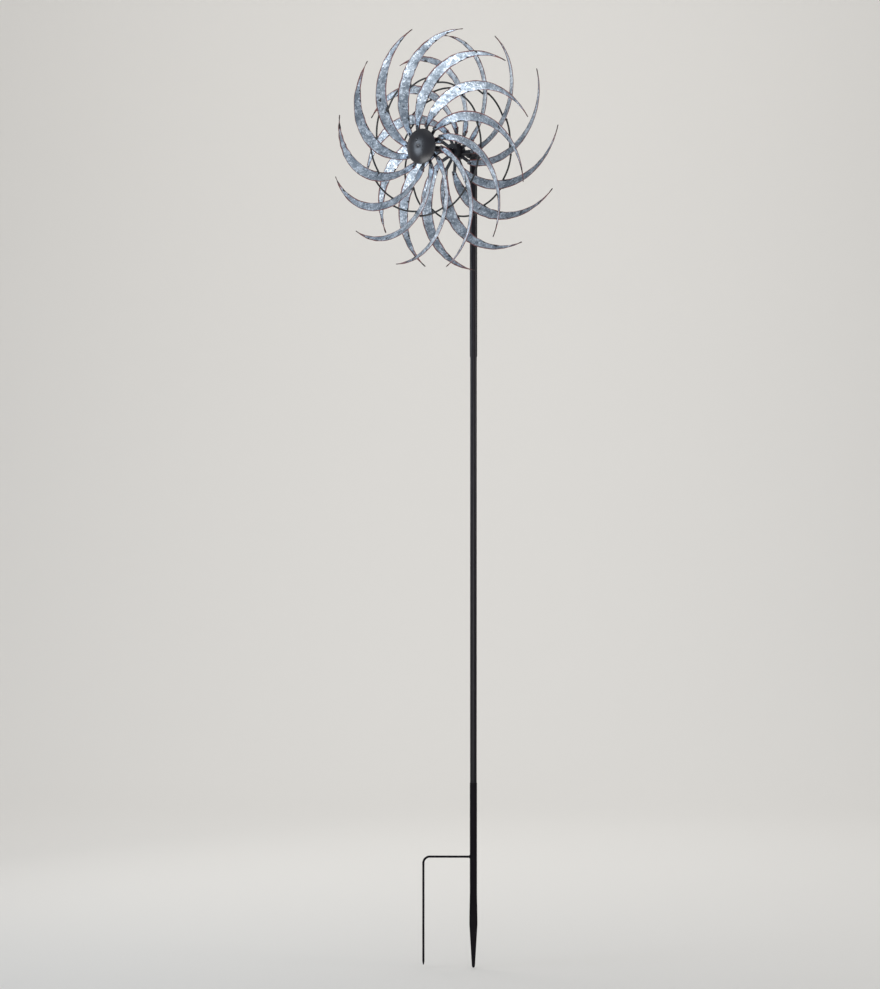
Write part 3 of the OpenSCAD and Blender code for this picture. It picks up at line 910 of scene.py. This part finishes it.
class WIND_OT_axle(bpy.types.Operator):
    """Make the axle with its threaded ends, nuts, spacer sleeves and boss, and finish the washers"""
    bl_idname = "wind.axle"
    bl_label = "Axle and boss"

    def execute(self, context):
        low, high = box("axle")
        radius, thread, height = node_radius("axle"), THREAD_RUN, NUT_HEIGHT
        centre = np.array([0.0, 0.0, (low + high)[2] / 2])
        nuts_low, nuts_high = box("axle_nuts")
        flats = (nuts_high - nuts_low)[2]
        run = high[1] - low[1] - 2 * thread
        shaft = [(PINHOLE, 0.0), (radius, 0.0), (radius, run), (PINHOLE, run)]
        body = lathe(shaft, centre + [0, high[1] - thread, 0], FORWARD, 48, loop=False)
        ends = [thread_part(centre + [0, low[1] + thread, 0], radius, thread, -1.0),
                thread_part(centre + [0, high[1] - thread, 0], radius, thread, 1.0)]
        closed_piece("axle_rod", joined([body] + ends), 30.0, "head", "zinc_steel", "plated_steel", "axle")
        nuts = [nut_part(centre + [0, nuts_low[1] + height, 0], flats, height, radius, -1.0),
                nut_part(centre + [0, nuts_high[1] - height, 0], flats, height, radius, 1.0)]
        closed_piece("lock_nuts", joined(nuts), 25.0, "head", "zinc_steel", "plated_steel", "axle_nuts")
        for node, name, chamfer, around in (("middle_spacer", "middle_spacer_sleeve", 0.0004, 48),
                                            ("boss_spacer", "boss_spacer_sleeve", 0.0004, 48),
                                            ("axle_boss", "boss", 0.0008, 64)):
            low, high = box(node)
            profile = rounded_profile(node_radius(node), radius, 0.0, high[1] - low[1], chamfer)
            lathe_piece(name, profile, centre + [0, high[1], 0], FORWARD, "head", "black_paint",
                        "hub_paint", node, around=around)
        set_finish("axle_washers", "plated_steel")
        return {"FINISHED"}


def saddle_path(tube_r, boss_r, level, steps=97):
    """Where an upright tube meets the boss that lies across its top: at angle a round the tube the
    boss's surface lies sqrt(boss_r^2 - (tube_r cos a)^2) below its axis."""
    angle = np.linspace(0, 2 * np.pi, steps)
    x, y = tube_r * np.cos(angle), tube_r * np.sin(angle)
    return np.stack([x, y, level - np.sqrt(boss_r ** 2 - x ** 2)], -1)


class WIND_OT_head(bpy.types.Operator):
    """Make the head tube that turns on the pole, with its weld to the boss"""
    bl_idname = "wind.head"
    bl_label = "Head tube"

    def execute(self, context):
        low, _ = box("head_tube")
        outer, bore, boss_r = (node_radius(node) for node in ("head_tube", "head_pivot_plug", "axle_boss"))
        boss_low, boss_high = box("axle_boss")
        level = (boss_low + boss_high)[2] / 2
        angle = round_angles(96)
        saddle = saddle_path(outer, boss_r, level, 97)[:-1, 2]
        lip = 0.0011
        steps = [(bore + 0.0002, low[2]), (outer - 0.0003, low[2]), (outer, low[2] + 0.0004),
                 (outer, low[2] + lip), (outer, low[2] + 4 * lip)]
        rings = [(r, np.full(96, z)) for r, z in steps]
        rise = saddle - low[2] - 4 * lip
        rings += [(outer, low[2] + 4 * lip + rise * t) for t in np.linspace(0.1, 1, 24)]
        rings += [(bore, np.full(96, saddle.min() - 0.001)), (bore, np.full(96, low[2] + 0.0006))]
        grid = np.stack([np.stack([r * np.cos(angle), r * np.sin(angle), z], -1) for r, z in rings])
        closed_piece("swivel_tube", loft(grid, loop=True), 35.0, "head", "black_paint", "pole_paint",
                     "head_tube")
        weld = bead(saddle_path(outer + 0.0002, boss_r, level, 121), radius=0.0014, lumps=26, seed=5)
        closed_piece("boss_weld", weld, 60.0, "head", "black_paint", "hub_paint")
        set_finish("head_pivot_plug", "nylon")
        set_finish("pole_pivot_stud", "plated_steel")
        return {"FINISHED"}


# ---------------------------------------------------------------- pole, stake and foot bar

class WIND_OT_pole(bpy.types.Operator):
    """Make the two pole sections with their rounded ends, and finish the plugs inside"""
    bl_idname = "wind.pole"
    bl_label = "Pole"

    def execute(self, context):
        bore = node_radius("upper_coupler")
        for node in ("upper_pole", "lower_pole"):
            low, high = box(node)
            profile = rounded_profile(node_radius(node), bore, 0.0, high[2] - low[2], 0.0005)
            lathe_piece(node + "_section", profile, np.array([0.0, 0.0, low[2]]), (0, 0, 1),
                        "pole_and_stake", "pole_paint", "pole_paint", node)
        set_finish("upper_coupler", "plated_steel")
        set_finish("lower_coupler", "plated_steel")
        return {"FINISHED"}


def foot_way():
    """Unit vectors along the foot bar, from the stake towards its leg, and across it."""
    along = np.array([*leg_mount()["pos_m"][:2], 0.0])
    along /= np.linalg.norm(along)
    return along, np.cross([0.0, 0.0, 1.0], along)


def stake_rings(top, point, around=64):
    """The stake's outline level by level: round down to the pressed part, then ever flatter and wider
    to the shoulder, then straight to a blunt point. At each level the section is a superellipse."""
    stake, tube_r = stake_sizes()
    press, shoulder = -stake.tube_end, -stake.shoulder
    dip = np.sin(np.linspace(0, 1, 10)[1:] * np.pi / 2 * 0.96)
    levels = np.concatenate([np.linspace(top, press, 20), np.linspace(press, shoulder, 28)[1:],
                             np.linspace(shoulder, point + stake.nose, 32)[1:],
                             point + stake.nose * (1 - dip)])
    pressed = smooth((press - levels) / (press - shoulder))
    cut = np.clip((shoulder - levels) / (shoulder - point), 0, 1)
    half = (tube_r + (stake.flat_width / 2 - tube_r) * pressed
            + (stake.point_width - stake.flat_width) / 2 * cut)
    deep = (tube_r + (stake.flat_thickness / 2 - tube_r) * pressed
            + (stake.point_thickness - stake.flat_thickness) / 2 * cut)
    nose = np.clip((levels - point) / stake.nose, 0, 1)
    round_off = np.where(levels < point + stake.nose, np.sqrt(np.clip(1 - (1 - nose) ** 2, 0.05, 1)), 1)
    power = 2 + 2.2 * pressed
    angle = round_angles(around)
    cos, sin = np.cos(angle)[None], np.sin(angle)[None]
    grow = (np.abs(cos) ** power[:, None] + np.abs(sin) ** power[:, None]) ** (-1 / power[:, None])
    return (half * round_off)[:, None] * grow * cos, (deep * round_off)[:, None] * grow * sin, levels


class WIND_OT_stake(bpy.types.Operator):
    """Make the stake, pressed flat and cut to a point"""
    bl_idname = "wind.stake"
    bl_label = "Stake"

    def execute(self, context):
        stake, tube_r = stake_sizes()
        low, high = box("stake")
        bore = node_radius("lower_coupler")
        along, across = foot_way()
        x, y, levels = stake_rings(high[2] - 0.0005, low[2])
        rings = x[..., None] * along + y[..., None] * across + levels[:, None, None] * UP
        angle = round_angles(x.shape[1])
        spoke = np.cos(angle)[:, None] * along + np.sin(angle)[:, None] * across
        bottom = 2 * tube_r - stake.tube_end
        well = [(PINHOLE, bottom), (bore, bottom), (bore, high[2] - 0.0004), (bore + 0.0004, high[2]),
                (tube_r - 0.0005, high[2])]
        inside = np.array([r * spoke + np.array([0, 0, z]) for r, z in well])
        closed_piece("pressed_stake", loft(np.concatenate([inside, rings])), 35.0, "pole_and_stake",
                     "stake_paint", "stake_paint", "stake")
        return {"FINISHED"}


class WIND_OT_foot_bar(bpy.types.Operator):
    """Make the bent foot bar and its weld to the stake"""
    bl_idname = "wind.foot_bar"
    bl_label = "Foot bar"

    def execute(self, context):
        mount = leg_mount()
        radius = mount["dims"]["r_mm"] * MM
        reach = math.hypot(*mount["pos_m"][:2])
        stake, tube_r = stake_sizes()
        low, high = box("foot_bar")
        along, across = foot_way()
        bend, level = stake.bar_bend, high[2] - radius
        turn_angle = np.linspace(0, np.pi / 2, 20)[1:-1]
        flat = np.linspace(radius / 2 - tube_r, reach - bend, 30)
        run = np.concatenate([flat, reach - bend + bend * np.sin(turn_angle), np.full(60, reach)])
        leg = np.linspace(level - bend, low[2], 60)
        drop = np.concatenate([np.full(30, level), level - bend + bend * np.cos(turn_angle), leg])
        path = run[:, None] * along + drop[:, None] * UP
        blunt = 1.0 / 2.25
        taper = np.clip((drop - low[2]) / 0.006, 0, 1) * (1 - blunt) + blunt
        size = np.where(run > reach - 1e-6, radius * np.minimum(taper, 1), radius)
        closed_piece("bent_foot_bar", rod(path, size, 24), 35.0, "pole_and_stake", "stake_paint",
                     "stake_paint", "foot_bar")
        angle = np.linspace(0, 2 * np.pi, 49)
        side, up = (radius + 0.0002) * np.cos(angle), (radius + 0.0002) * np.sin(angle)
        depth = np.sqrt(tube_r ** 2 - side ** 2)
        path = depth[:, None] * along + side[:, None] * across + (level + up)[:, None] * UP
        closed_piece("foot_bar_weld", bead(path, radius=0.0011, lumps=12, seed=8), 60.0,
                     "pole_and_stake", "stake_paint", "stake_paint")
        return {"FINISHED"}


# ---------------------------------------------------------------- stage

def area_light(name, place, aim, size, power, tint=(1.0, 1.0, 1.0), spread=180):
    """A soft rectangular light at a place, turned towards a point. A small spread spares the floor."""
    lamp = bpy.data.lights.new(name, "AREA")
    lamp.shape, lamp.size, lamp.size_y = "RECTANGLE", size[0], size[1]
    lamp.energy, lamp.color, lamp.spread = power, tint, math.radians(spread)
    holder = bpy.data.objects.new(name, lamp)
    holder.location = place
    holder.visible_camera = False
    way = np.asarray(aim, float) - np.asarray(place, float)
    tilt, heading = math.acos(-way[2] / np.linalg.norm(way)), math.atan2(way[1], way[0])
    holder.rotation_euler = (tilt, 0.0, heading - math.pi / 2)
    bpy.context.scene.collection.objects.link(holder)


class WIND_OT_stage(bpy.types.Operator):
    """Make the floor and backdrop, the soft lights and the camera"""
    bl_idname = "wind.stage"
    bl_label = "Stage"

    def execute(self, context):
        scene = context.scene
        ground = box("stake")[0][2] - 0.001
        back, rise, deep = 5.0, 6.0, 2.5
        view = math.radians(35.9)
        away = np.array([-math.sin(view), math.cos(view), 0.0])
        right = np.array([math.cos(view), math.sin(view), 0.0])
        bend = np.linspace(0, np.pi / 2, 24)
        run = np.concatenate([[-12.0, 0.0], back - deep + deep * np.sin(bend), [back]])
        lift = np.concatenate([[0.0, 0.0], deep - deep * np.cos(bend), [rise]])
        rows = run[:, None] * away + lift[:, None] * UP + [0, 0, ground]
        cols = np.array([-11.0, 11.0])
        points = rows[:, None] + cols[None, :, None] * right
        count = len(run)
        faces = [(2 * i, 2 * i + 1, 2 * i + 3, 2 * i + 2) for i in range(count - 1)]
        sweep = put_mesh("studio_sweep", points.reshape(-1, 3), faces, 60.0)
        sweep.data.materials.append(material("floor"))

        scene.world = bpy.data.worlds.new("soft_room")
        scene.world.use_nodes = True
        shade = scene.world.node_tree.nodes["Background"]
        shade.inputs["Color"].default_value = (0.90, 0.94, 1.0, 1.0)
        shade.inputs["Strength"].default_value = 0.42

        near, left = -away, -right
        cool = (0.76, 0.87, 1.0)
        area_light("key", near * 3.0 + right * 0.2 + UP * 0.45, UP * 1.4, (1.5, 1.0), 7.4, spread=90)
        area_light("low_panel", (-0.15, -1.2, 0.2), (0, -0.1, 1.5), (1.6, 1.0), 7.0, spread=100)
        area_light("left_panel", left * 1.65 + near * 0.6 + UP * 1.5, UP * 1.35, (0.7, 1.1), 14, cool)
        area_light("left_back_panel", left * 1.36 + away * 1.45 + UP * 1.4, UP * 1.4, (1.2, 1.4), 8)
        area_light("right_panel", right * 1.9 + near * 0.5 + UP * 1.3, UP * 1.3, (0.6, 1.2), 12)
        area_light("back_wash", away * 1.2 + UP * 3.2, away * 4.5 + UP, (4.0, 1.2), 90)
        area_light("floor_wash", near * 0.6 + UP * 4.0, (0, 0, 0), (4.0, 4.0), 26)

        distance, height = 5.443, 0.779
        camera = bpy.data.cameras.new("view")
        camera.sensor_fit, camera.sensor_height, camera.lens = "VERTICAL", 24.0, 65.5
        holder = bpy.data.objects.new("view", camera)
        holder.location = near * distance + UP * height
        holder.rotation_euler = (math.radians(90 - 0.48), 0.0, view + math.radians(0.71))
        scene.collection.objects.link(holder)
        scene.camera = holder
        scene.view_settings.view_transform = "Standard"
        return {"FINISHED"}


# ---------------------------------------------------------------- add-on

class WIND_PT_panel(bpy.types.Panel):
    """Lists the steps that dress the wind sculpture"""
    bl_label = "Wind sculpture"
    bl_idname = "WIND_PT_panel"
    bl_space_type = "VIEW_3D"
    bl_region_type = "UI"
    bl_category = "Wind sculpture"

    def draw(self, context):
        for step in STEPS:
            self.layout.operator(step.bl_idname)
        for group in GROUPS:
            box_layout = self.layout.box()
            settings = getattr(context.scene, group)
            for name in settings.__annotations__:
                box_layout.prop(settings, name)


STEPS = (WIND_OT_stage, WIND_OT_blades, WIND_OT_braces, WIND_OT_hubs, WIND_OT_axle, WIND_OT_head,
         WIND_OT_pole, WIND_OT_stake, WIND_OT_foot_bar)
GROUPS = {"wind_blade": BladeSizes, "wind_hub": HubSizes, "wind_stake": StakeSizes, "wind_finish": Finishes}


def register():
    for group in GROUPS.values():
        bpy.utils.register_class(group)
    for name, group in GROUPS.items():
        setattr(bpy.types.Scene, name, bpy.props.PointerProperty(type=group))
    for step in STEPS + (WIND_PT_panel,):
        bpy.utils.register_class(step)


def unregister():
    for step in reversed(STEPS + (WIND_PT_panel,)):
        bpy.utils.unregister_class(step)
    for name in GROUPS:
        delattr(bpy.types.Scene, name)
    for group in GROUPS.values():
        bpy.utils.unregister_class(group)


def main():
    register()
    for step in STEPS:
        group, name = step.bl_idname.split(".")
        getattr(getattr(bpy.ops, group), name)()
    bpy.context.view_layer.update()


if __name__ == "__main__":
    main()
